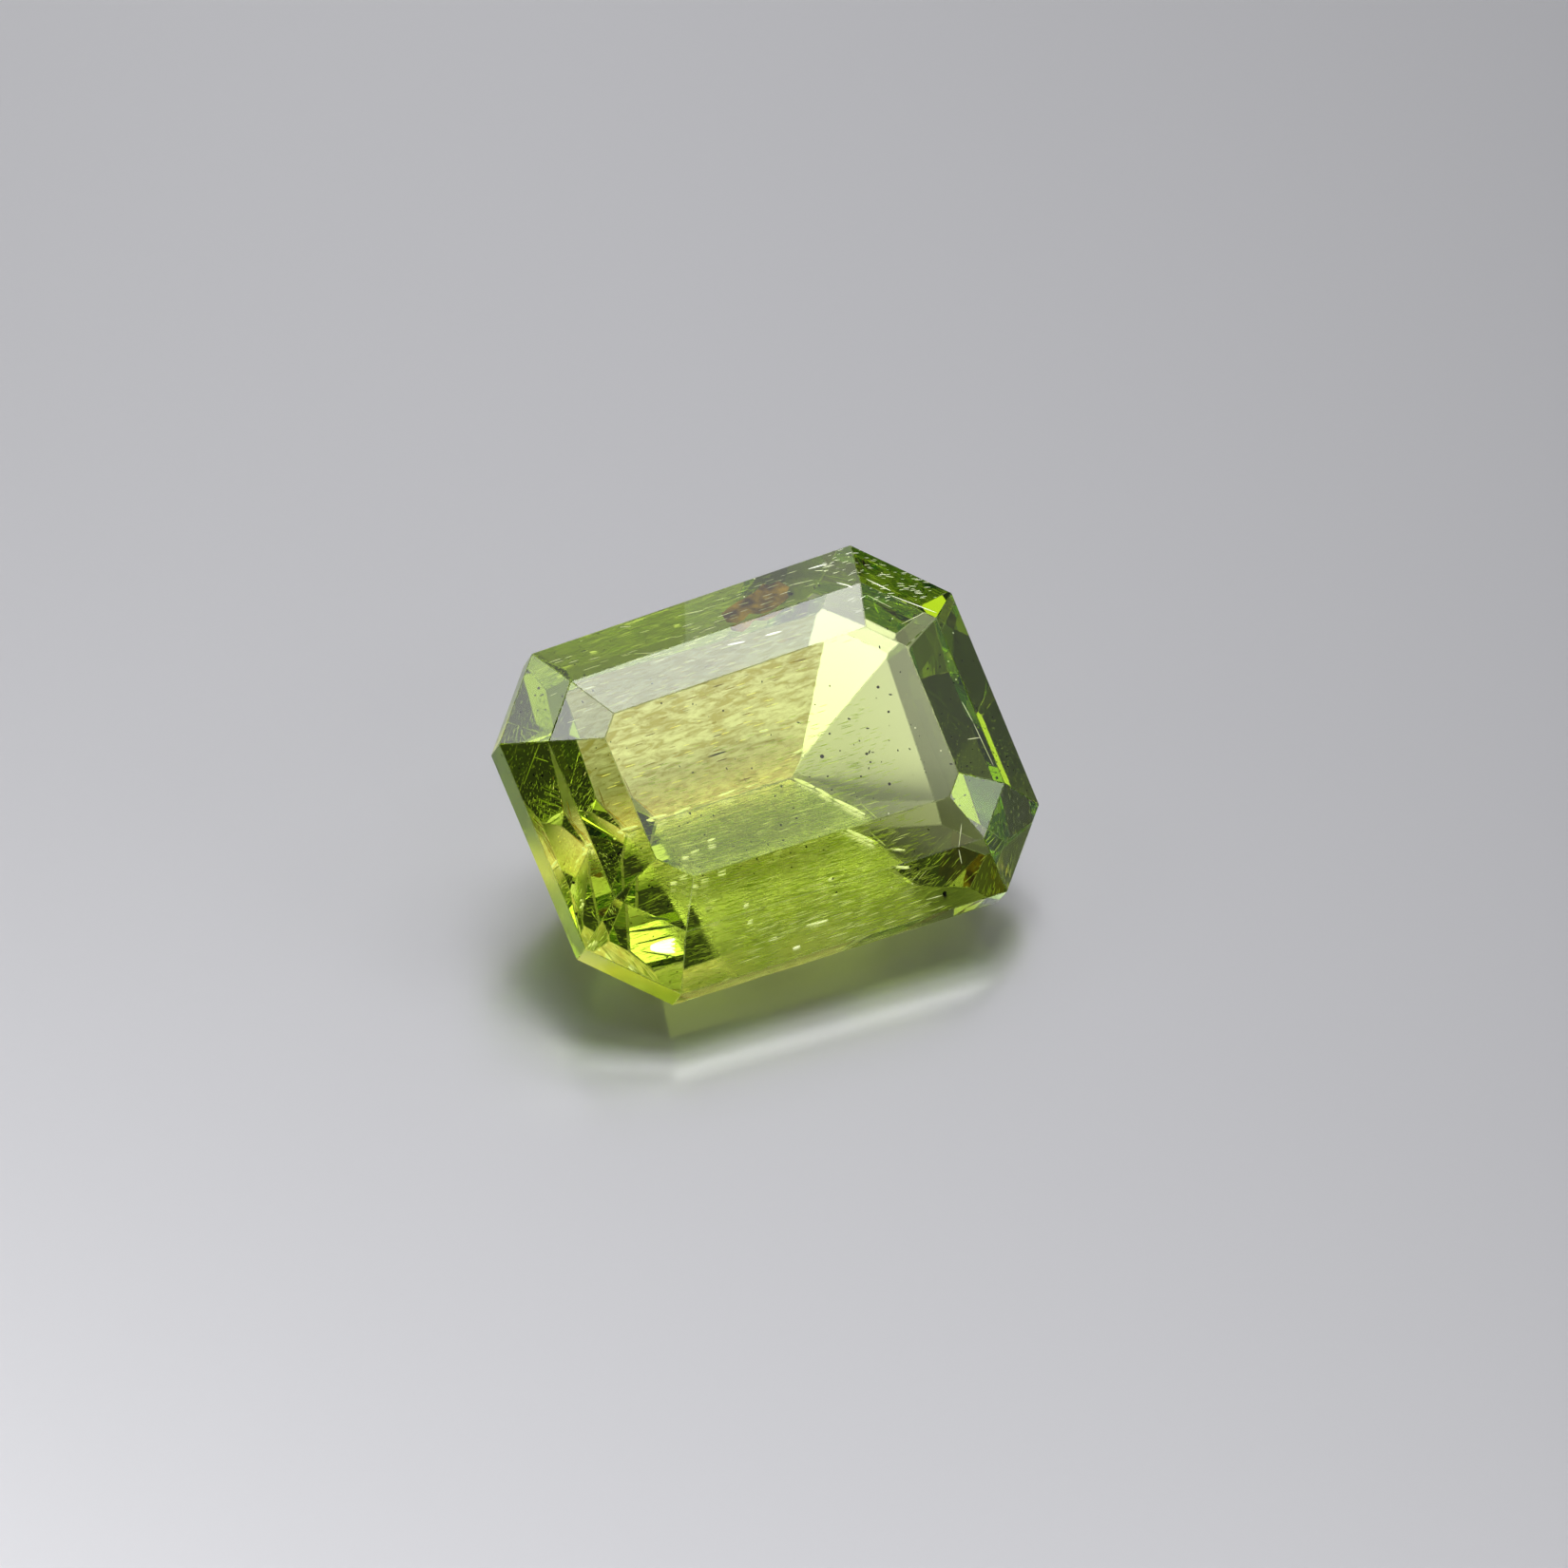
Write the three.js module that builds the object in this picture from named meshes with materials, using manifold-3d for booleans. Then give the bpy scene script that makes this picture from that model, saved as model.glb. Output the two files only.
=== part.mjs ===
// A faceted peridot: one natural crystal, cut as an octagon with straight steps.
// Millimetres, +Z up. The stone is cut with its table level and then laid over,
// so that it rests on the lower facet of its near long side, with its length along X.

import * as THREE from "three";
import Module from "manifold-3d";

// Levels over the plane through the upper edge of the girdle
const tableLevel = 0.93;
const crownStepLevel = 0.62;
const girdleFootLevel = -0.65;

// The rough is larger than the cut stone on every side
const roughSize = [12, 10, 8];

// The eight sides, seen from over the table, counterclockwise from the right end.
// Angles are in degrees. An azimuth is the way a side faces, from the long axis.
// reach      from the stone's upright axis to the girdle wall
// crownLow   slope of the crown facet next to the girdle
// crownHigh  slope of the crown facet next to the table
// pavilion   slope of the pavilion facet next to the girdle
// keel       azimuth, slope and distance from the girdle's centre of the facet that ends at the keel
const sides = [
  {
    place: "right end", azimuth: -0.7, reach: 4.61, crownLow: 41, crownHigh: 19.5, pavilion: 42,
    keel: { azimuth: 1, slope: 30.5, distance: 3.3 },
  },
  {
    place: "far right corner", azimuth: 45.3, reach: 4.73, crownLow: 35.5, crownHigh: 19, pavilion: 42,
    keel: { azimuth: 46, slope: 28.5, distance: 3.25 },
  },
  {
    place: "far long side", azimuth: 90.8, reach: 3.47, crownLow: 35.5, crownHigh: 19, pavilion: 46,
    keel: { azimuth: 93, slope: 32.5, distance: 2.78 },
  },
  {
    place: "far left corner", azimuth: 138.4, reach: 4.78, crownLow: 39, crownHigh: 19, pavilion: 39.5,
    keel: { azimuth: 138.5, slope: 30, distance: 3.49 },
  },
  {
    place: "left end", azimuth: 180.2, reach: 4.6, crownLow: 42.5, crownHigh: 19, pavilion: 48,
    keel: { azimuth: 180, slope: 36, distance: 3.68 },
  },
  {
    place: "near left corner", azimuth: 224.9, reach: 4.72, crownLow: 35, crownHigh: 19, pavilion: 46,
    keel: { azimuth: 228.5, slope: 28, distance: 3.41 },
  },
  {
    place: "near long side", azimuth: 268.9, reach: 3.5, crownLow: 33.5, crownHigh: 20, pavilion: 45,
    keel: { azimuth: 266, slope: 29.5, distance: 2.8 },
  },
  {
    place: "near right corner", azimuth: 317.2, reach: 4.87, crownLow: 37, crownHigh: 19, pavilion: 48,
    keel: { azimuth: 318, slope: 29, distance: 3.34 },
  },
];
const restingSide = "near long side";

const peridotGreen = new THREE.MeshStandardMaterial({
  color: "#94a83c",
  roughness: 0.04,
  metalness: 0,
  transparent: true,
  opacity: 0.7,
});

const wasm = await Module();
wasm.setup();

// A facet is a plane: the way it faces, and its distance from the girdle's centre.
// A slope of 0 is level and 90 is upright. Crown facets face up and pavilion facets down.
function facing(azimuth, slope, up) {
  const turn = THREE.MathUtils.degToRad(azimuth);
  const tilt = THREE.MathUtils.degToRad(slope);
  const out = Math.sin(tilt);
  return new THREE.Vector3(out * Math.cos(turn), out * Math.sin(turn), up * Math.cos(tilt));
}

function facetThrough(normal, reach, level) {
  const outward = new THREE.Vector3(normal.x, normal.y, 0).normalize();
  const point = outward.multiplyScalar(reach).setZ(level);
  return { normal, distance: normal.dot(point) };
}

function rise(slope) {
  return Math.tan(THREE.MathUtils.degToRad(slope));
}

function facetsOf(side) {
  const stepReach = side.reach - crownStepLevel / rise(side.crownLow);
  const keel = side.keel;
  return [
    facetThrough(facing(side.azimuth, 90, 1), side.reach, 0),
    facetThrough(facing(side.azimuth, side.crownLow, 1), side.reach, 0),
    facetThrough(facing(side.azimuth, side.crownHigh, 1), stepReach, crownStepLevel),
    facetThrough(facing(side.azimuth, side.pavilion, -1), side.reach, girdleFootLevel),
    { normal: facing(keel.azimuth, keel.slope, -1), distance: keel.distance },
  ];
}

// The rough is a block. Each cut takes away all that stands outside its facet's plane.
function roughBlock() {
  const block = new THREE.BoxGeometry(...roughSize);
  const corners = new Map();
  const vertices = [];
  const triangles = [];
  const position = block.attributes.position;
  for (let i = 0; i < block.index.count; i += 1) {
    const corner = new THREE.Vector3().fromBufferAttribute(position, block.index.getX(i));
    const key = corner.toArray().join(" ");
    if (!corners.has(key)) {
      corners.set(key, corners.size);
      vertices.push(...corner.toArray());
    }
    triangles.push(corners.get(key));
  }
  return new wasm.Manifold(new wasm.Mesh({
    numProp: 3,
    vertProperties: new Float32Array(vertices),
    triVerts: new Uint32Array(triangles),
  }));
}

function cutStone() {
  const table = { normal: new THREE.Vector3(0, 0, 1), distance: tableLevel };
  const facets = [table, ...sides.flatMap(facetsOf)];
  let stone = roughBlock();
  for (const facet of facets) {
    const inward = facet.normal.clone().negate();
    stone = stone.trimByPlane(inward.toArray(), -facet.distance);
  }
  const mesh = stone.getMesh();
  const geometry = new THREE.BufferGeometry();
  geometry.setAttribute("position", new THREE.BufferAttribute(mesh.vertProperties, 3));
  geometry.setIndex(new THREE.BufferAttribute(mesh.triVerts, 1));
  return geometry;
}

// Laid down: the resting facet faces straight down, and the long axis stays over X.
function layDown(geometry) {
  const { keel } = sides.find((side) => side.place === restingSide);
  const up = facing(keel.azimuth, keel.slope, -1).negate();
  const across = new THREE.Vector3().crossVectors(up, new THREE.Vector3(1, 0, 0)).normalize();
  const along = new THREE.Vector3().crossVectors(across, up);
  const lying = new THREE.Matrix4().makeBasis(along, across, up).transpose();
  geometry.applyMatrix4(lying);
  geometry.computeBoundingBox();
  const { min, max } = geometry.boundingBox;
  geometry.translate(-(min.x + max.x) / 2, -(min.y + max.y) / 2, -min.z);
  return geometry;
}

const peridot = new THREE.Mesh(layDown(cutStone()), peridotGreen);
peridot.name = "peridot";

const part = new THREE.Group();
part.add(peridot);

export default part;
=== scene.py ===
# A faceted peridot: a clear olive green octagon with straight steps, lying tilted on one
# facet of its underside on a pale satin table. Blender works in metres.

import math

import bmesh
import bpy
from mathutils import Matrix, Vector
from mathutils.bvhtree import BVHTree


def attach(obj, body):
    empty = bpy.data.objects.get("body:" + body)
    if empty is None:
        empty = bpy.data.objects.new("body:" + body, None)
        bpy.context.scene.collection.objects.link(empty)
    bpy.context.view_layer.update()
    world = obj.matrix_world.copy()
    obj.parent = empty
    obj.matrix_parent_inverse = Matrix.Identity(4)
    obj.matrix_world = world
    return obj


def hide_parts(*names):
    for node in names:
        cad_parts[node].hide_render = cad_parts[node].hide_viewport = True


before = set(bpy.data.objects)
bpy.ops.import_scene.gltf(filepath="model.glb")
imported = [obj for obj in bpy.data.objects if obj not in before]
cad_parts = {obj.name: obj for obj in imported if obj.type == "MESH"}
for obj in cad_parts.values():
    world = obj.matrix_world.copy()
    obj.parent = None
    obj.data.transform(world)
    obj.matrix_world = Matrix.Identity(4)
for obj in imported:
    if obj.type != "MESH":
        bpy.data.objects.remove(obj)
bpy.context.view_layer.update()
MM = 0.001


# The camera: a long lens that looks down at the stone from its near left side, from where the
# photograph was taken.

CAMERA_BACK = Vector((-0.3693, -0.6326, 0.6808))
CAMERA_RIGHT = Vector((0.889, -0.4539, 0.0606))
AIM = Vector((0.169, -0.430, 2.62)) * MM
DISTANCE = 206.9 * MM
FRAME_WIDTH = 28.448 * MM
SENSOR_WIDTH = 36
NEAREST_SEEN, FARTHEST_SEEN = 0.01, 5

lens = bpy.data.cameras.new("camera")
lens.sensor_width = SENSOR_WIDTH
lens.lens = SENSOR_WIDTH * DISTANCE / FRAME_WIDTH
lens.clip_start = NEAREST_SEEN
lens.clip_end = FARTHEST_SEEN
camera = bpy.data.objects.new("camera", lens)
back = CAMERA_BACK.normalized()
right = (CAMERA_RIGHT - CAMERA_RIGHT.dot(back) * back).normalized()
up = back.cross(right)
eye = AIM + back * DISTANCE
stand = camera.matrix_world
for row in range(3):
    stand[row][0] = right[row]
    stand[row][1] = up[row]
    stand[row][2] = back[row]
    stand[row][3] = eye[row]
camera.matrix_world = stand
bpy.context.scene.collection.objects.link(camera)
bpy.context.scene.camera = camera


# The stone: one natural crystal of peridot, cut with flat facets and polished on a wheel. Its
# resting facet and near slope are only lapped, its far lower facet is matt and stained by iron, the
# near left side of its girdle is only ground, and its edges are worn, most at the resting facet.

EDGE_WEAR = 0.011 * MM
KEEL_WEAR = 0.03 * MM
KEEL_END_WEAR = 0.1 * MM
CHIP_SIZE = 0.25 * MM
SAME_PLACE = 0.001 * MM
FLAT = math.radians(1)
TABLE_WAY = Vector((0, -0.49, 0.87))
RESTING_WAY = Vector((0, 0, -1))
NEAR_SLOPE_WAY = Vector((0, -0.27, -0.96))
FAR_KEEL_WAY = Vector((0, 0.88, -0.47))
KEEL_END_WAY = Vector((0.53, 0.43, -0.73))
WORN_OFF, HALF_WORN = 1, 0.5
GIRDLE_LEAN = 0.02
LEFTWARD = -0.5
REFRACTION = 1.67
OLIVE_ABSORBS = (0.073, 0.040, 0.314)
DENSITY = 0.4
WORN_LEAST, WORN_MOST = 0.2, 0.8
GROUND_ROUGHNESS = 0.22
LAPPED_ROUGHNESS = 0.3
STREAK_LENGTH = 1.1 * MM
STREAK_WIDTH = 0.12 * MM
STREAK_DEPTH = 0.016 * MM
LAPPED_FROM = -1.95 * MM
LAPPED_ALL = -1.75 * MM
GROUND_TO = 0.4 * MM
POLISHED_FROM = 0.7 * MM
STAIN_LENGTH = 0.38 * MM
STAIN_WIDTH = 0.11 * MM
# How fast the painted light at the foot of the stained facet fades with height.
PAINTED_FOOT_LIGHT_RISE = 0.04
MIX_FIRST, MIX_SECOND, MIXED = 6, 7, 2


def linear(text):
    """A colour written as sRGB hex, turned linear."""
    parts = [int(text[i:i + 2], 16) / 255 for i in (1, 3, 5)]
    return tuple(c / 12.92 if c <= 0.04045 else ((c + 0.055) / 1.055) ** 2.4 for c in parts) + (1,)


def add(tree, kind, links=None, **settings):
    """Adds a node. Settings are its properties; links are its sockets' values or other nodes' outputs."""
    node = tree.nodes.new(kind)
    for name, value in settings.items():
        setattr(node, name, value)
    for name, value in (links or {}).items():
        if isinstance(value, bpy.types.NodeSocket):
            tree.links.new(value, node.inputs[name])
        else:
            node.inputs[name].default_value = value
    return node


stone_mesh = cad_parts["peridot"].data.copy()
stone_mesh.name = "peridot_stone"
shape = bmesh.new()
shape.from_mesh(stone_mesh)
bmesh.ops.remove_doubles(shape, verts=shape.verts, dist=SAME_PLACE)
bmesh.ops.dissolve_limit(shape, angle_limit=FLAT, verts=shape.verts, edges=shape.edges)
ground = shape.faces.layers.float.new("ground")
lapped = shape.faces.layers.float.new("lapped")
stained = shape.faces.layers.float.new("stained")
worn = shape.faces.layers.float.new("worn_edge")


def facing(facets, way):
    """The facet that faces that way most nearly."""
    return max(facets, key=lambda facet: facet.normal.dot(way))


upright = facing(shape.faces, TABLE_WAY).normal.copy()
for facet in shape.faces:
    on_girdle = abs(facet.normal.dot(upright)) < GIRDLE_LEAN
    if on_girdle and facet.normal.x < LEFTWARD and facet.normal.dot(back) > 0:
        facet[ground] = 1
facing(shape.faces, RESTING_WAY)[lapped] = 1
facing(shape.faces, NEAR_SLOPE_WAY)[lapped] = 1
facing(shape.faces, FAR_KEEL_WAY)[stained] = 1
plain_stone = bpy.data.meshes.new("plain_stone")
shape.to_mesh(plain_stone)


def wear_off(edges, width, wear):
    """Cuts a narrow worn strip along each edge."""
    strips = bmesh.ops.bevel(shape, geom=edges, offset=width, segments=1, affect="EDGES", clamp_overlap=True)
    for face in strips["faces"]:
        face[worn] = wear
        face[ground] = 0
        face[lapped] = 0
        face[stained] = 0


def whole(edge):
    """Whether no worn strip lies beside the edge."""
    return not any(face[worn] for face in edge.link_faces)


keel_end = set(facing(shape.faces, RESTING_WAY).edges) & set(facing(shape.faces, KEEL_END_WAY).edges)
wear_off(list(keel_end), KEEL_END_WEAR, WORN_OFF)
wear_off([edge for edge in facing(shape.faces, RESTING_WAY).edges if whole(edge)], KEEL_WEAR, WORN_OFF)
wear_off([edge for edge in shape.edges if whole(edge)], EDGE_WEAR, HALF_WORN)
for face in shape.faces:
    face.smooth = False
shape.to_mesh(stone_mesh)
shape.free()

# Polished peridot: clear, with facets as sharp as mirrors. It drinks most of the blue light, so that it
# is yellower where the way through it is short and greener where it is long. Lapped and stained
# facets blur what lies behind them, with streaks along the length, and a ground wall glows lime.
crystal = bpy.data.materials.new("polished_peridot_crystal")
crystal.use_nodes = True
tree = crystal.node_tree
tree.nodes.clear()
coords = add(tree, "ShaderNodeTexCoord")
wall = add(tree, "ShaderNodeAttribute", attribute_name="ground")
lap = add(tree, "ShaderNodeAttribute", attribute_name="lapped")
edge = add(tree, "ShaderNodeAttribute", attribute_name="worn_edge")
stain = add(tree, "ShaderNodeAttribute", attribute_name="stained")

place = add(tree, "ShaderNodeSeparateXYZ", {0: coords.outputs["Object"]})
side = add(tree, "ShaderNodeMapRange", {"Value": place.outputs["X"], "From Min": LAPPED_FROM,
                                        "From Max": LAPPED_ALL})
lap_here = add(tree, "ShaderNodeMath", {0: lap.outputs["Fac"], 1: side.outputs["Result"]},
               operation="MULTIPLY")
along = add(tree, "ShaderNodeMapping", {
    "Vector": coords.outputs["Object"],
    "Scale": (1 / STREAK_LENGTH, 1 / STREAK_WIDTH, 1 / STREAK_WIDTH),
})
streak = add(tree, "ShaderNodeTexNoise", {"Vector": along.outputs["Vector"], "Scale": 1.0, "Detail": 4.0,
                                          "Roughness": 0.7})
groove = add(tree, "ShaderNodeBump", {"Strength": lap_here.outputs["Value"], "Distance": STREAK_DEPTH,
                                      "Height": streak.outputs["Fac"]})

chip = add(tree, "ShaderNodeTexNoise", {"Vector": coords.outputs["Object"], "Scale": 1 / CHIP_SIZE})
chips = add(tree, "ShaderNodeMapRange", {"Value": chip.outputs["Fac"], "From Min": 0.4, "From Max": 0.6,
                                         "To Min": WORN_LEAST, "To Max": WORN_MOST})
wear = add(tree, "ShaderNodeMath", {0: edge.outputs["Fac"], 1: chips.outputs["Result"]}, operation="MULTIPLY")
near_side = add(tree, "ShaderNodeMapRange", {"Value": place.outputs["Y"], "From Min": GROUND_TO,
                                             "From Max": POLISHED_FROM, "To Min": 1.0, "To Max": 0.0})
ground_here = add(tree, "ShaderNodeMath", {0: wall.outputs["Fac"], 1: near_side.outputs["Result"]},
                  operation="MULTIPLY")
matt = add(tree, "ShaderNodeMath", {0: lap_here.outputs["Value"], 1: stain.outputs["Fac"]},
           operation="ADD")
frost = add(tree, "ShaderNodeMath", {0: ground_here.outputs["Value"], 1: GROUND_ROUGHNESS,
                                     2: wear.outputs["Value"]}, operation="MULTIPLY_ADD")
rough = add(tree, "ShaderNodeMath", {0: matt.outputs["Value"], 1: LAPPED_ROUGHNESS,
                                     2: frost.outputs["Value"]}, operation="MULTIPLY_ADD")

clouds = add(tree, "ShaderNodeMapping", {
    "Vector": coords.outputs["Object"],
    "Scale": (1 / STAIN_LENGTH, 1 / STAIN_WIDTH, 1 / STAIN_WIDTH),
})
cloud = add(tree, "ShaderNodeTexNoise", {"Vector": clouds.outputs["Vector"], "Scale": 1.0, "Detail": 5.0,
                                         "Roughness": 0.65, "Distortion": 0.6})
# Painted light: the gold of the stain grows paler towards the foot of the stone, for the light that falls
# there, and deeper higher up.
higher = add(tree, "ShaderNodeMath", {0: place.outputs["Z"], 1: -PAINTED_FOOT_LIGHT_RISE / MM, 2: cloud.outputs["Fac"]},
             operation="MULTIPLY_ADD")
spread = add(tree, "ShaderNodeMapRange", {"Value": higher.outputs["Value"], "From Min": 0.36,
                                          "From Max": 0.58})
gold = add(tree, "ShaderNodeMix", {"Factor": spread.outputs["Result"], MIX_FIRST: linear("#98803e"),
                                   MIX_SECOND: linear("#fbf0d4")}, data_type="RGBA")
skin = add(tree, "ShaderNodeMix", {"Factor": stain.outputs["Fac"], MIX_FIRST: linear("#fdfef8"),
                                   MIX_SECOND: gold.outputs[MIXED]}, data_type="RGBA")
tint = add(tree, "ShaderNodeMix", {"Factor": wall.outputs["Fac"], MIX_FIRST: skin.outputs[MIXED],
                                   MIX_SECOND: linear("#f4ff68")}, data_type="RGBA")
glass = add(tree, "ShaderNodeBsdfPrincipled", {
    "Base Color": tint.outputs[MIXED],
    "Roughness": rough.outputs["Value"],
    "Normal": groove.outputs["Normal"],
    "IOR": REFRACTION,
    "Transmission Weight": 1.0,
})
olive = add(tree, "ShaderNodeVolumeAbsorption", {
    "Color": tuple(1 - a / DENSITY for a in OLIVE_ABSORBS) + (1,),
    "Density": DENSITY / MM,
})
add(tree, "ShaderNodeOutputMaterial", {"Surface": glass.outputs["BSDF"], "Volume": olive.outputs["Volume"]})
stone_mesh.materials.clear()
stone_mesh.materials.append(crystal)
stone = bpy.data.objects.new("peridot_stone", stone_mesh)
bpy.context.scene.collection.objects.link(stone)
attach(stone, "root")
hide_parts("peridot")


# The silk: fine pale films and needles, in the crystal since it grew. They lie along its length
# and send the lamps' light on, so that they show as short pale dashes, most of all near the facet
# that the stone rests on. Their weak glow is painted light, which stands for that light.

SMALLEST, LARGEST = 0.4, 1.5
CLOUD_SIZE = 0.3 * MM


def fleck_tree():
    """Spindles scattered in a box inside the stone, in a layer under its facets, and thinned to patches."""
    tree = bpy.data.node_groups.new("flecks_in_crystal", "GeometryNodeTree")
    face = tree.interface
    face.new_socket("Stone", in_out="INPUT", socket_type="NodeSocketGeometry")
    for name, kind in (("Count", "Int"), ("Seed", "Int"), ("Low Corner", "Vector"), ("High Corner", "Vector"),
                       ("Length", "Float"), ("Width", "Float"), ("Thickness", "Float"), ("Turn", "Float"),
                       ("Nearest", "Float"), ("Deepest", "Float"), ("Patch Size", "Float"),
                       ("Bareness", "Float"), ("Material", "Material")):
        face.new_socket(name, in_out="INPUT", socket_type="NodeSocket" + kind)
    face.new_socket("Flecks", in_out="OUTPUT", socket_type="NodeSocketGeometry")
    given = add(tree, "NodeGroupInput").outputs
    spot = add(tree, "FunctionNodeRandomValue", {0: given["Low Corner"], 1: given["High Corner"],
                                                 "Seed": given["Seed"]}, data_type="FLOAT_VECTOR")
    points = add(tree, "GeometryNodePoints", {"Count": given["Count"], "Position": spot.outputs[0]})
    here = add(tree, "GeometryNodeInputPosition")
    nearest = add(tree, "GeometryNodeProximity", {0: given["Stone"]}, target_element="FACES")
    normal = add(tree, "GeometryNodeInputNormal")
    outward = add(tree, "GeometryNodeSampleNearestSurface", {
        "Mesh": given["Stone"], "Value": normal.outputs[0]}, data_type="FLOAT_VECTOR")
    away = add(tree, "ShaderNodeVectorMath", {0: nearest.outputs["Position"], 1: here.outputs[0]},
               operation="SUBTRACT")
    depth = add(tree, "ShaderNodeVectorMath", {0: away.outputs[0], 1: outward.outputs["Value"]},
                operation="DOT_PRODUCT")
    inside = add(tree, "FunctionNodeCompare", {0: depth.outputs["Value"], 1: given["Nearest"]},
                 data_type="FLOAT", operation="GREATER_THAN")
    shallow = add(tree, "FunctionNodeCompare", {0: depth.outputs["Value"], 1: given["Deepest"]},
                  data_type="FLOAT", operation="LESS_THAN")
    fineness = add(tree, "ShaderNodeMath", {0: 1.0, 1: given["Patch Size"]}, operation="DIVIDE")
    patches = add(tree, "ShaderNodeTexNoise", {"Vector": here.outputs[0], "Scale": fineness.outputs[0],
                                               "Detail": 2.0})
    dense = add(tree, "FunctionNodeCompare", {0: patches.outputs["Fac"], 1: given["Bareness"]},
                data_type="FLOAT", operation="GREATER_THAN")
    layer = add(tree, "FunctionNodeBooleanMath", {0: inside.outputs[0], 1: shallow.outputs[0]},
                operation="AND")
    keep = add(tree, "FunctionNodeBooleanMath", {0: layer.outputs[0], 1: dense.outputs[0]}, operation="AND")
    ball = add(tree, "GeometryNodeMeshUVSphere", {"Segments": 6, "Rings": 4, "Radius": 0.5})
    shape = add(tree, "ShaderNodeCombineXYZ", {0: given["Length"], 1: given["Width"], 2: given["Thickness"]})
    spindle = add(tree, "GeometryNodeTransform", {"Geometry": ball.outputs["Mesh"],
                                                  "Scale": shape.outputs[0]})
    lean = add(tree, "ShaderNodeMath", {0: given["Turn"], 1: -1.0}, operation="MULTIPLY")
    turn_low = add(tree, "ShaderNodeCombineXYZ", {0: -math.pi, 1: lean.outputs[0], 2: lean.outputs[0]})
    turn_high = add(tree, "ShaderNodeCombineXYZ", {0: math.pi, 1: given["Turn"], 2: given["Turn"]})
    turns = add(tree, "FunctionNodeRandomValue", {0: turn_low.outputs[0], 1: turn_high.outputs[0],
                                                  "Seed": given["Seed"]}, data_type="FLOAT_VECTOR")
    sizes = add(tree, "FunctionNodeRandomValue", {2: SMALLEST, 3: LARGEST, "Seed": given["Seed"]},
                data_type="FLOAT")
    placed = add(tree, "GeometryNodeInstanceOnPoints", {
        "Points": points.outputs[0], "Selection": keep.outputs[0], "Instance": spindle.outputs[0],
        "Rotation": turns.outputs[0], "Scale": sizes.outputs[1]})
    whole = add(tree, "GeometryNodeRealizeInstances", {0: placed.outputs[0]})
    finish = add(tree, "GeometryNodeSetMaterial", {"Geometry": whole.outputs[0],
                                                   "Material": given["Material"]})
    add(tree, "NodeGroupOutput", {0: finish.outputs[0]})
    return tree


FLECKS = fleck_tree()


def flecks(name, material, low, high, **sizes):
    """A piece of flecks inside the stone, as a plain mesh that rides with it. Low and high are in mm."""
    given = {"Low Corner": Vector(low) * MM, "High Corner": Vector(high) * MM, "Turn": math.radians(3),
             "Nearest": 0.04 * MM, "Deepest": 9 * MM, "Patch Size": 1.2 * MM, "Bareness": 0.4,
             "Material": material, **sizes}
    piece = bpy.data.objects.new(name, plain_stone.copy())
    bpy.context.scene.collection.objects.link(piece)
    scatter = piece.modifiers.new("flecks", "NODES")
    scatter.node_group = FLECKS
    for socket in FLECKS.interface.items_tree:
        if socket.in_out == "INPUT" and socket.name in given:
            scatter[socket.identifier] = given[socket.name]
    graph = bpy.context.evaluated_depsgraph_get()
    made = bpy.data.meshes.new_from_object(piece.evaluated_get(graph), depsgraph=graph)
    piece.modifiers.clear()
    piece.data = made
    made.name = name
    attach(piece, "root")


def matter(name, colours, roughness, glow=0.0):
    """A solid matter grown into the crystal, cloudy between two colours, with no gloss of its own, and a
    painted glow in the same colours, for the lamps' light that it catches.
    """
    material = bpy.data.materials.new(name)
    material.use_nodes = True
    tree = material.node_tree
    tree.nodes.clear()
    place = add(tree, "ShaderNodeTexCoord")
    cloud = add(tree, "ShaderNodeTexNoise", {"Vector": place.outputs["Object"], "Scale": 1 / CLOUD_SIZE})
    share = add(tree, "ShaderNodeMapRange", {"Value": cloud.outputs["Fac"], "From Min": 0.35,
                                             "From Max": 0.65})
    tint = add(tree, "ShaderNodeMix", {"Factor": share.outputs["Result"], MIX_FIRST: linear(colours[0]),
                                       MIX_SECOND: linear(colours[1])}, data_type="RGBA")
    body = add(tree, "ShaderNodeBsdfPrincipled", {
        "Base Color": tint.outputs[MIXED],
        "Roughness": roughness,
        "Specular IOR Level": 0.0,
        # Painted light: the matter glows in its own colours, though it is no lamp.
        "Emission Color": tint.outputs[MIXED],
        "Emission Strength": glow,
    })
    add(tree, "ShaderNodeOutputMaterial", {"Surface": body.outputs["BSDF"]})
    return material


# Pearly films are thin gaps in the crystal, and look like pale satin threads. Hazy ones are so thin
# that the olive shows through, and cream ones hold a trace of iron stain.
# Painted light: the pearly films glow, for the lamps' light that they send on.
pearly = matter("pearly_film_painted_glow", ("#f4f6d4", "#b8c480"), roughness=0.4, glow=0.65)
flecks("silk_by_the_floor", pearly, (-1.7, -2.4, 0.0), (2.3, 1.4, 0.6), Count=480, Length=0.26 * MM,
       Width=0.011 * MM, Thickness=0.008 * MM, Seed=3)
flecks("silk_by_the_far_side", pearly, (-3.3, 1.0, 3.6), (2.2, 2.9, 4.7), Count=260, Length=0.2 * MM,
       Width=0.011 * MM, Thickness=0.008 * MM, Seed=21)
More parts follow.
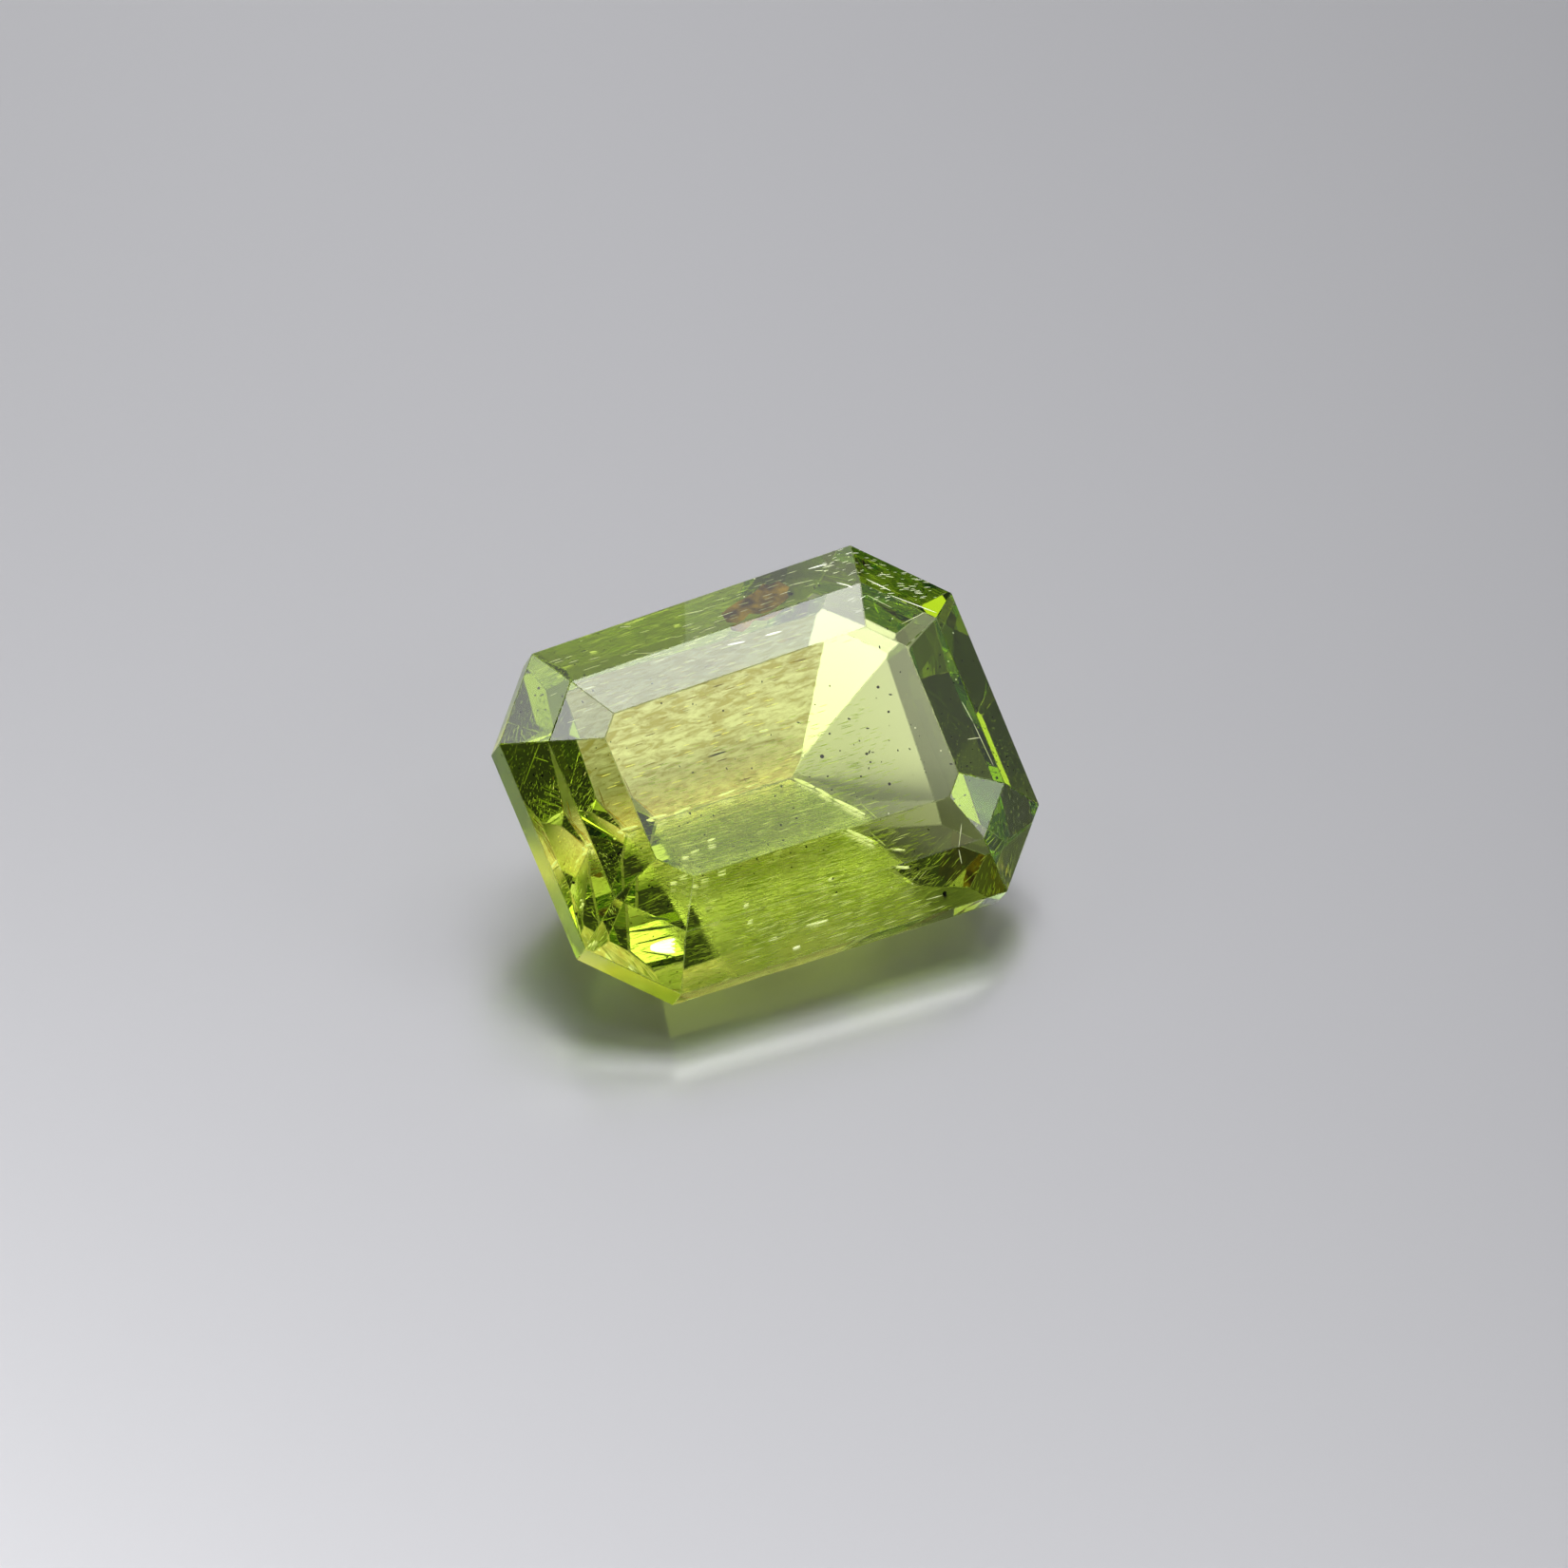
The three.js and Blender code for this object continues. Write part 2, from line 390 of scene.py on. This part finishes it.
# Painted light: the hazy films glow, which gives the near half an even painted glow.
hazy = matter("hazy_film_painted_glow", ("#bccb5c", "#899b3a"), roughness=0.5, glow=0.48)
flecks("silk_by_the_near_slope", hazy, (-1.5, -2.9, 0.02), (2.1, 1.0, 1.9), Count=5600, Length=0.36 * MM,
       Width=0.018 * MM, Thickness=0.008 * MM, Seed=17, Deepest=0.2 * MM, Bareness=0.42)
flecks("fine_silk_by_the_floor", hazy, (-2.2, -2.4, 0.0), (2.5, 1.6, 1.8), Count=2200, Length=0.15 * MM,
       Width=0.009 * MM, Thickness=0.007 * MM, Seed=8, Bareness=0.36)
# Painted light: the cream films glow most, which lightens the foot of the golden facet.
cream = matter("cream_film_painted_glow", ("#fff2c4", "#e2cf92"), roughness=0.4, glow=1.0)
flecks("silk_at_the_far_keel", cream, (-2.1, 1.4, 0.05), (1.1, 2.6, 2.0), Count=500, Length=0.16 * MM,
       Width=0.013 * MM, Thickness=0.008 * MM, Seed=14, Deepest=0.16 * MM, Bareness=0.3)


# The rust: brown films of iron stain along the growth of the crystal, behind its far lower facet.
# They are matt and lie just under the facet, and show as fine brown lines in its gold.

# Painted light: the stain films glow faintly, though they are no lamp.
rust = matter("iron_stain_painted_glow", ("#b08d40", "#5e4a20"), roughness=0.5, glow=0.25)
flecks("rust_streaks", rust, (-2.0, 1.5, 0.1), (1.2, 2.8, 2.3), Count=420, Length=0.18 * MM,
       Width=0.016 * MM, Thickness=0.009 * MM, Seed=5, Deepest=0.2 * MM, Bareness=0.35)


# The golden film: a thin cloudy film of iron stain just inside the far lower facet, thickest by the
# foot of the stone, where it is cream, and gone higher up. Its glow is painted light, strongest at
# the foot, for the light that falls there. Most of what lies behind shows through.

FILM_DEPTH = 0.03 * MM
FILM_THICKNESS = 0.008 * MM
FILM_REACH = 0.985
FILM_HIGH, FILM_LOW = 0.85 * MM, 0.2 * MM
FILM_COVER = 0.23
FILM_PAINTED_GLOW = 1.5
stain_film_painted_glow = bpy.data.materials.new("iron_stain_film_painted_glow")
stain_film_painted_glow.use_nodes = True
tree = stain_film_painted_glow.node_tree
tree.nodes.clear()
coords = add(tree, "ShaderNodeTexCoord")
grain = add(tree, "ShaderNodeMapping", {
    "Vector": coords.outputs["Object"],
    "Scale": (1 / STAIN_LENGTH, 1 / STAIN_WIDTH, 1 / STAIN_WIDTH),
})
cloud = add(tree, "ShaderNodeTexNoise", {"Vector": grain.outputs["Vector"], "Scale": 2.0, "Detail": 6.0,
                                         "Roughness": 0.8, "Distortion": 0.8})
spread = add(tree, "ShaderNodeMapRange", {"Value": cloud.outputs["Fac"], "From Min": 0.35,
                                          "From Max": 0.62})
height = add(tree, "ShaderNodeSeparateXYZ", {0: coords.outputs["Object"]})
cover = add(tree, "ShaderNodeMapRange", {"Value": height.outputs["Z"], "From Min": FILM_HIGH,
                                         "From Max": FILM_LOW, "To Min": 0.0, "To Max": FILM_COVER})
gold = add(tree, "ShaderNodeMix", {"Factor": spread.outputs["Result"], MIX_FIRST: linear("#a87c30"),
                                   MIX_SECOND: linear("#fff8dc")}, data_type="RGBA")
veil = add(tree, "ShaderNodeBsdfPrincipled", {
    "Base Color": gold.outputs[MIXED],
    "Roughness": 0.5,
    "Emission Color": gold.outputs[MIXED],
    # Painted light: the film glows in its own colours, most where its cover is thickest, at the foot.
    "Emission Strength": FILM_PAINTED_GLOW,
    "Alpha": cover.outputs["Result"],
})
add(tree, "ShaderNodeOutputMaterial", {"Surface": veil.outputs["BSDF"]})
golden = facing(plain_stone.polygons, FAR_KEEL_WAY)
middle = golden.center.copy()
rim = [middle + (plain_stone.vertices[i].co - middle) * FILM_REACH for i in golden.vertices]
outer = [tuple(corner - golden.normal * FILM_DEPTH) for corner in rim]
inner = [tuple(corner - golden.normal * (FILM_DEPTH + FILM_THICKNESS)) for corner in rim]
count = len(rim)
face_outside, face_inside = list(range(count)), list(range(2 * count - 1, count - 1, -1))
sides = [[i, i + count, (i + 1) % count + count, (i + 1) % count] for i in range(count)]
film_mesh = bpy.data.meshes.new("golden_film_painted_glow")
film_mesh.from_pydata(outer + inner, [], [face_outside, face_inside] + sides)
film_mesh.materials.append(stain_film_painted_glow)
film_piece = bpy.data.objects.new("golden_film_painted_glow", film_mesh)
bpy.context.scene.collection.objects.link(film_piece)
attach(film_piece, "root")


# Needles and films: pale growth tubes, scratches and flakes, each in the place where the photograph
# shows it, just behind the facet that it is seen through or just before the one behind it. Some are
# painted highlights instead: the white wedge and the glints along the worn keel end and the foot of
# the near slope. A place is given in pixels of the photograph, and is found along the camera's line of sight.

FRAME_PIXELS = 1650
STEP_INSIDE = 0.01 * MM
skin_of_stone = BVHTree.FromPolygons([v.co for v in plain_stone.vertices],
                                     [tuple(p.vertices) for p in plain_stone.polygons])


def seen_at(pixel, near=None, far=None):
    """The place in the stone seen at a pixel, so far in from the facet in front, or from that behind."""
    across = (pixel[0] / FRAME_PIXELS - 0.5) * FRAME_WIDTH
    down = (pixel[1] / FRAME_PIXELS - 0.5) * FRAME_WIDTH
    sight = (AIM + right * across - up * down - eye).normalized()
    front, normal, _, _ = skin_of_stone.ray_cast(eye, sight)
    slant = -sight.dot(normal)
    steeper = slant / REFRACTION - math.sqrt(1 - (1 - slant ** 2) / REFRACTION ** 2)
    bent = (sight / REFRACTION + normal * steeper).normalized()
    if near is not None:
        return front + bent * near
    behind, _, _, _ = skin_of_stone.ray_cast(front + bent * STEP_INSIDE, bent)
    return behind - bent * far


def add_spindle(shape, start, end, width):
    """Adds a spindle from its start to its end, or a ball where they are the same."""
    run = end - start
    size = Matrix.Diagonal((width, width, max(run.length, width), 1))
    turn = run.to_track_quat("Z", "Y").to_matrix().to_4x4() if run.length else Matrix()
    bmesh.ops.create_uvsphere(shape, u_segments=8, v_segments=6, radius=0.5,
                              matrix=Matrix.Translation((start + end) / 2) @ turn @ size)


def spindles(name, material, spans):
    """One mesh of spindles. A span is its two ends and its width."""
    shape = bmesh.new()
    for start, end, width in spans:
        add_spindle(shape, start, end, width)
    mesh = bpy.data.meshes.new(name)
    shape.to_mesh(mesh)
    shape.free()
    mesh.materials.append(material)
    piece = bpy.data.objects.new(name, mesh)
    bpy.context.scene.collection.objects.link(piece)
    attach(piece, "root")


FINE, COARSE = 0.018 * MM, 0.033 * MM
# The width of the spindles that paint the white wedge of highlight.
PAINTED_HIGHLIGHT_WIDTH = 0.085 * MM
UNDER_SKIN = 0.1 * MM
ON_SKIN = 0.03 * MM
NEEDLES = {
    "over the white wedge": ((936, 626), (986, 645), COARSE),
    "beside it, upper": ((911, 609), (938, 622), COARSE),
    "beside it, lower": ((912, 626), (939, 640), FINE),
    "by the far corner": ((880, 613), (897, 618), COARSE),
    "on the far side, high": ((850, 599), (871, 593), COARSE),
    "on the far side, low": ((831, 616), (856, 610), FINE),
    "across the right corner": ((948, 657), (973, 644), FINE),
    "right end, upper": ((1012, 738), (1024, 760), FINE),
    "right end, lower": ((1024, 760), (1046, 807), FINE),
    "right end, cross": ((1018, 778), (1032, 776), FINE),
    "near right corner": ((1012, 866), (1009, 892), FINE),
    "near right corner, below": ((1009, 894), (1012, 909), FINE),
    "near the rim": ((974, 947), (992, 942), FINE),
    "pale band, left": ((765, 679), (784, 675), COARSE),
    "pale band, right": ((805, 669), (823, 664), COARSE),
    "pale band, far left": ((720, 697), (732, 694), FINE),
    "far side, left": ((652, 660), (664, 659), FINE),
    "far side, middle": ((667, 688), (687, 687), FINE),
    "far side, by the rust": ((713, 648), (741, 642), FINE),
    # Painted highlight: four wide white spindles side by side paint a white wedge of light on a facet.
    "painted highlight, top": ((684, 996), (711, 988), PAINTED_HIGHLIGHT_WIDTH),
    "painted highlight, upper": ((684, 997), (711, 993), PAINTED_HIGHLIGHT_WIDTH),
    "painted highlight, lower": ((684, 998), (711, 998), PAINTED_HIGHLIGHT_WIDTH),
    "painted highlight, foot": ((684, 999), (711, 1002), PAINTED_HIGHLIGHT_WIDTH),
}
STRIPES = {
    "broad": ((660, 981), (711, 974), 0.055 * MM),
    "narrow": ((667, 994), (713, 983), 0.03 * MM),
    "under the wedge": ((674, 1001), (713, 1007), 0.03 * MM),
    "top": ((680, 965), (706, 968), 0.045 * MM),
}
DASHES = {
    "brightest": ((744, 885), (753, 882), COARSE),
    "left of it": ((727, 897), (736, 894), COARSE),
    "left, low": ((705, 929), (713, 928), COARSE),
    "left, middle": ((735, 931), (746, 930), FINE),
    "middle": ((755, 921), (764, 919), COARSE),
    "left, lower": ((727, 942), (737, 940), FINE),
    "middle, high": ((806, 907), (821, 901), FINE),
    "low": ((782, 954), (788, 950), COARSE),
    "right": ((871, 926), (877, 923), COARSE),
    "high": ((802, 868), (812, 864), FINE),
    "right, low": ((888, 950), (896, 947), FINE),
    "left edge": ((717, 911), (724, 910), FINE),
    "lower": ((746, 974), (758, 971), FINE),
    "under the keel": ((735, 862), (748, 859), FINE),
}
FLAKES = {
    "keel, left": ((709, 857), (727, 849), 0.05 * MM),
    "keel, right": ((755, 838), (774, 831), 0.04 * MM),
    "by the wedge": ((833, 795), (845, 788), 0.045 * MM),
    "golden, right": ((799, 770), (808, 768), COARSE),
    "left, by the keel": ((652, 874), (671, 869), 0.05 * MM),
    "slope, first": ((808, 989), (818, 986), COARSE),
    "slope, second": ((834, 998), (842, 995), COARSE),
    "slope, third": ((790, 1007), (800, 1005), FINE),
    "keel, far left": ((735, 846), (747, 842), FINE),
    "keel, middle": ((783, 829), (800, 824), COARSE),
    "keel, far right": ((812, 822), (826, 818), FINE),
    # Painted highlights: these flakes paint the glints along the worn edge at the foot of the near slope and
    # along the keel end.
    "painted glint, foot of the slope, left": ((806, 986), (842, 976), FINE),
    "painted glint, foot of the slope, middle": ((848, 974), (872, 967), COARSE),
    "painted glint, foot of the slope, right": ((876, 966), (898, 959), FINE),
    "painted glint, keel end, upper": ((915, 875), (932, 890), FINE),
    "painted glint, keel end, lower": ((936, 893), (957, 912), COARSE),
}
# Painted highlight: a row of white glowing spindles along the worn keel end, for the light its worn strip
# catches.
KEEL_END = ((835, 819), (858, 829), (876, 840), (912, 858))
KEEL_END_GLINT_SIZE = 0.07 * MM
DOTS = ((868, 601), (861, 614), (893, 586), (928, 603), (932, 629), (939, 651), (1003, 666), (998, 696),
        (1006, 715), (990, 790), (963, 766), (938, 934), (935, 856), (960, 930), (783, 628), (794, 609))
# Bright films are gaps that face the lamps, and look like white sparks: their glow is painted
# highlight. Fine ones are scattered in the far right corner.
silk_and_painted_highlight = matter("silk_and_painted_highlight", ("#ffffff", "#eef0dc"), roughness=0.4, glow=1.0)
tubes = [(seen_at(a, near=UNDER_SKIN), seen_at(b, near=UNDER_SKIN), width)
         for a, b, width in NEEDLES.values()]
keel_end_glints = [(seen_at(a, far=KEEL_END_GLINT_SIZE), seen_at(b, far=KEEL_END_GLINT_SIZE), KEEL_END_GLINT_SIZE)
           for a, b in zip(KEEL_END, KEEL_END[1:])]
marks = list(DASHES.values()) + list(FLAKES.values())
dashes = [(seen_at(a, far=max(ON_SKIN, width)), seen_at(b, far=max(ON_SKIN, width)), width)
          for a, b, width in marks]
bubbles = [(seen_at(dot, near=UNDER_SKIN), seen_at(dot, near=UNDER_SKIN), COARSE) for dot in DOTS]
flecks("silk_in_the_far_corner", silk_and_painted_highlight, (2.5, 1.5, 3.7), (4.3, 3.0, 4.7), Count=200, Length=0.13 * MM,
       Width=0.011 * MM, Thickness=0.009 * MM, Turn=0.3, Seed=8, Deepest=0.7 * MM, Bareness=0.45)
spindles("growth_tubes_and_painted_highlights", silk_and_painted_highlight, [span for span in tubes + dashes if span[2] != FINE])
spindles("fine_growth_tubes_and_painted_glints", pearly, [span for span in tubes + dashes if span[2] == FINE] + bubbles)
# Painted highlight along the worn keel end.
spindles("keel_end_painted_highlight", silk_and_painted_highlight, keel_end_glints)
# Growth lines are greener bands of the crystal, and look like dark stripes in a bright facet. Their faint
# glow is painted light.
growth_line = matter("green_growth_line_painted_glow", ("#7d9a34", "#566f1e"), roughness=0.5, glow=0.35)
spindles("green_growth_lines", growth_line,
         [(seen_at(a, near=ON_SKIN), seen_at(b, near=ON_SKIN), width) for a, b, width in STRIPES.values()])


# The amber crack: a crack that dips steeply into the stone from its far long side, with a film of
# iron stain in it, clouded from gold to dark brown, and lines of the same stain by the golden facet.

CRACK = ((759, 646), (766, 640), (776, 633), (783, 630), (795, 622), (803, 614), (809, 616), (819, 611),
         (831, 618), (828, 623), (830, 629), (820, 637), (811, 643), (802, 646), (793, 653), (783, 652),
         (776, 656), (765, 655))
CRACK_TOP = 611
CRACK_DIP = 1.6
CRACK_THICKNESS = 0.02 * MM
STAIN_LINES = (((656, 818), (665, 838)), ((665, 838), (694, 861)), ((830, 698), (849, 693)))
# Painted light: the stain in the crack glows faintly, though it is no lamp.
amber = matter("amber_stain_painted_glow", ("#bc980e", "#4e3a08"), roughness=0.5, glow=0.38)


def in_crack(pixel, behind):
    """The place in the dipping crack seen at a pixel, so far behind its front."""
    dip = CRACK_DIP * (pixel[1] - CRACK_TOP) * FRAME_WIDTH / FRAME_PIXELS
    return seen_at(pixel, near=UNDER_SKIN + dip + behind)


crack_shape = bmesh.new()
front_ring = [crack_shape.verts.new(in_crack(p, 0)) for p in CRACK]
back_ring = [crack_shape.verts.new(in_crack(p, CRACK_THICKNESS)) for p in CRACK]
crack_shape.faces.new(front_ring)
crack_shape.faces.new(back_ring[::-1])
for i in range(len(CRACK)):
    crack_shape.faces.new((front_ring[i - 1], back_ring[i - 1], back_ring[i], front_ring[i]))
for start, end in STAIN_LINES:
    add_spindle(crack_shape, seen_at(start, far=ON_SKIN), seen_at(end, far=ON_SKIN), FINE)
bmesh.ops.triangulate(crack_shape, faces=[face for face in crack_shape.faces if len(face.verts) > 4])
bmesh.ops.recalc_face_normals(crack_shape, faces=crack_shape.faces)
crack_mesh = bpy.data.meshes.new("amber_crack")
crack_shape.to_mesh(crack_mesh)
crack_shape.free()
crack_mesh.materials.append(amber)
crack = bpy.data.objects.new("amber_crack", crack_mesh)
bpy.context.scene.collection.objects.link(crack)
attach(crack, "root")


# The dark grains: tiny black crystals of chromite, grown in with the stone. The larger ones
# stand where the photograph shows them, and a fine dust of them lies in the middle and the far half.

GRAINS = {(924, 723): 0.06, (935, 749): 0.05, (865, 796): 0.08, (912, 793): 0.06, (916, 802): 0.04,
          (873, 772): 0.04, (906, 817): 0.04, (936, 825): 0.06, (871, 817): 0.04, (994, 940): 0.08,
          (822, 827): 0.06, (838, 861): 0.04, (884, 790): 0.03, (761, 748): 0.04, (824, 884): 0.04,
          (832, 898): 0.04, (696, 740): 0.04}
LONG_GRAIN = ((744, 797), (766, 790), 0.03 * MM)
chromite = matter("chromite_grain", ("#0c0c08", "#1c1a10"), roughness=0.3)
grains = [(seen_at(p, far=UNDER_SKIN), seen_at(p, far=UNDER_SKIN), size * MM)
          for p, size in GRAINS.items()]
start, end, width = LONG_GRAIN
grains.append((seen_at(start, far=UNDER_SKIN), seen_at(end, far=UNDER_SKIN), width))
spindles("chromite_crystals", chromite, grains)
flecks("chromite_dust", chromite, (-2.8, -1.5, 0.3), (3.2, 2.7, 3.0), Count=110, Length=0.05 * MM,
       Width=0.022 * MM, Thickness=0.02 * MM, Turn=math.pi, Seed=11, Bareness=0.0)


# The table top: a plain pale board with a pearly satin lacquer, which shows the lamps as a soft glow.
# It stands a hair below the stone, because a film of air lies between the two.

TABLE_SIZE = 900 * MM
AIR_FILM = 0.01 * MM
table_mesh = bpy.data.meshes.new("table_top")
half = TABLE_SIZE / 2
corners = [(-half, -half), (half, -half), (half, half), (-half, half)]
table_mesh.from_pydata([(x, y, -AIR_FILM) for x, y in corners], [], [(0, 1, 2, 3)])
board = bpy.data.materials.new("satin_lacquered_board")
board.use_nodes = True
tree = board.node_tree
tree.nodes.clear()
lacquer = add(tree, "ShaderNodeBsdfPrincipled", {
    "Base Color": linear("#dcdce0"),
    "Metallic": 0.6,
    "Roughness": 0.28,
})
add(tree, "ShaderNodeOutputMaterial", {"Surface": lacquer.outputs["BSDF"]})
table_mesh.materials.append(board)
table_top = bpy.data.objects.new("table_top", table_mesh)
bpy.context.scene.collection.objects.link(table_top)


# The light: soft round and oblong lamps about the stone, in a dim room. Angles are in degrees: the
# turn is from straight behind the stone towards the camera's right, and wide and high are half of
# what the lamp spans. The glow is its brightness.

LAMP_DISTANCE = 500 * MM
STONE_CENTRE = Vector((0, 0, 2.4)) * MM
AWAY = Vector((-back.x, -back.y, 0)).normalized()
SIDEWAYS = AWAY.cross(Vector((0, 0, 1)))
USUAL_SPAN = 7.2
LAMPS = {
    "main, left": {"turn": -15, "rise": 64, "glow": 6.5},
    "main, right": {"turn": 15, "rise": 64, "glow": 6.1},
    "second, right": {"turn": 43, "rise": 53, "high": 8, "glow": 4.2},
    "second, left": {"turn": -21, "rise": 52, "glow": 2.7},
    "overhead": {"turn": -51, "rise": 76, "glow": 4.8},
    "overhead, right": {"turn": 105, "rise": 64, "glow": 1.2},
    "left": {"turn": -34, "rise": 40, "glow": 1.3},
    "far left": {"turn": -69, "rise": 40, "glow": 2.6},
    "right": {"turn": 69, "rise": 40, "glow": 2.7},
    "far right": {"turn": 98, "rise": 28, "glow": 3.0},
    "far right, low": {"turn": 80, "rise": 16, "glow": 1.25},
    "right, beside": {"turn": 60, "rise": 28, "wide": 12, "high": 6, "glow": 0.45},
    "near right, high": {"turn": 138, "rise": 41, "wide": 5, "high": 5, "glow": 3.1},
    "centre": {"turn": 0, "rise": 46, "high": 13, "glow": 0.55},
    "right, low": {"turn": 31, "rise": 28, "wide": 8, "high": 18, "glow": 0.4},
    "left, low": {"turn": -15, "rise": 28, "wide": 13, "high": 7, "glow": 0.6},
    "behind, low": {"turn": -6, "rise": 4, "glow": 1.0},
    "near right": {"turn": 123, "rise": 17, "wide": 11, "high": 7, "glow": 0.7},
    "near right, low": {"turn": 148, "rise": 4, "glow": 3.5},
    "near left": {"turn": -112, "rise": 28, "glow": 1.0},
    "near left, low": {"turn": -135, "rise": 4, "glow": 1.25},
}
for name, lamp in LAMPS.items():
    turn, rise = math.radians(lamp["turn"]), math.radians(lamp["rise"])
    level_way = AWAY * math.cos(turn) + SIDEWAYS * math.sin(turn)
    way = level_way * math.cos(rise) + Vector((0, 0, math.sin(rise)))
    wide = 2 * LAMP_DISTANCE * math.tan(math.radians(lamp.get("wide", USUAL_SPAN)))
    high = 2 * LAMP_DISTANCE * math.tan(math.radians(lamp.get("high", USUAL_SPAN)))
    light = bpy.data.lights.new(name, "AREA")
    light.shape = "ELLIPSE" if wide == high else "RECTANGLE"
    light.size, light.size_y = wide, high
    area = wide * high * (math.pi / 4 if light.shape == "ELLIPSE" else 1)
    light.energy = lamp["glow"] * math.pi * area
    holder = bpy.data.objects.new("lamp " + name, light)
    holder.location = STONE_CENTRE + way * LAMP_DISTANCE
    holder.rotation_mode = "QUATERNION"
    holder.rotation_quaternion = way.to_track_quat("Z", "Y")
    holder.visible_camera = False
    bpy.context.scene.collection.objects.link(holder)

ROOM_GLOW = 0.05
BOUNCES = 32
room = bpy.data.worlds.new("dim_room")
room.use_nodes = True
tree = room.node_tree
tree.nodes.clear()
walls = add(tree, "ShaderNodeBackground", {"Color": linear("#f4f6ff"), "Strength": ROOM_GLOW})
add(tree, "ShaderNodeOutputWorld", {"Surface": walls.outputs["Background"]})
scene = bpy.context.scene
scene.world = room
scene.view_settings.view_transform = "Standard"
scene.cycles.max_bounces = BOUNCES
scene.cycles.transmission_bounces = BOUNCES
scene.cycles.glossy_bounces = BOUNCES
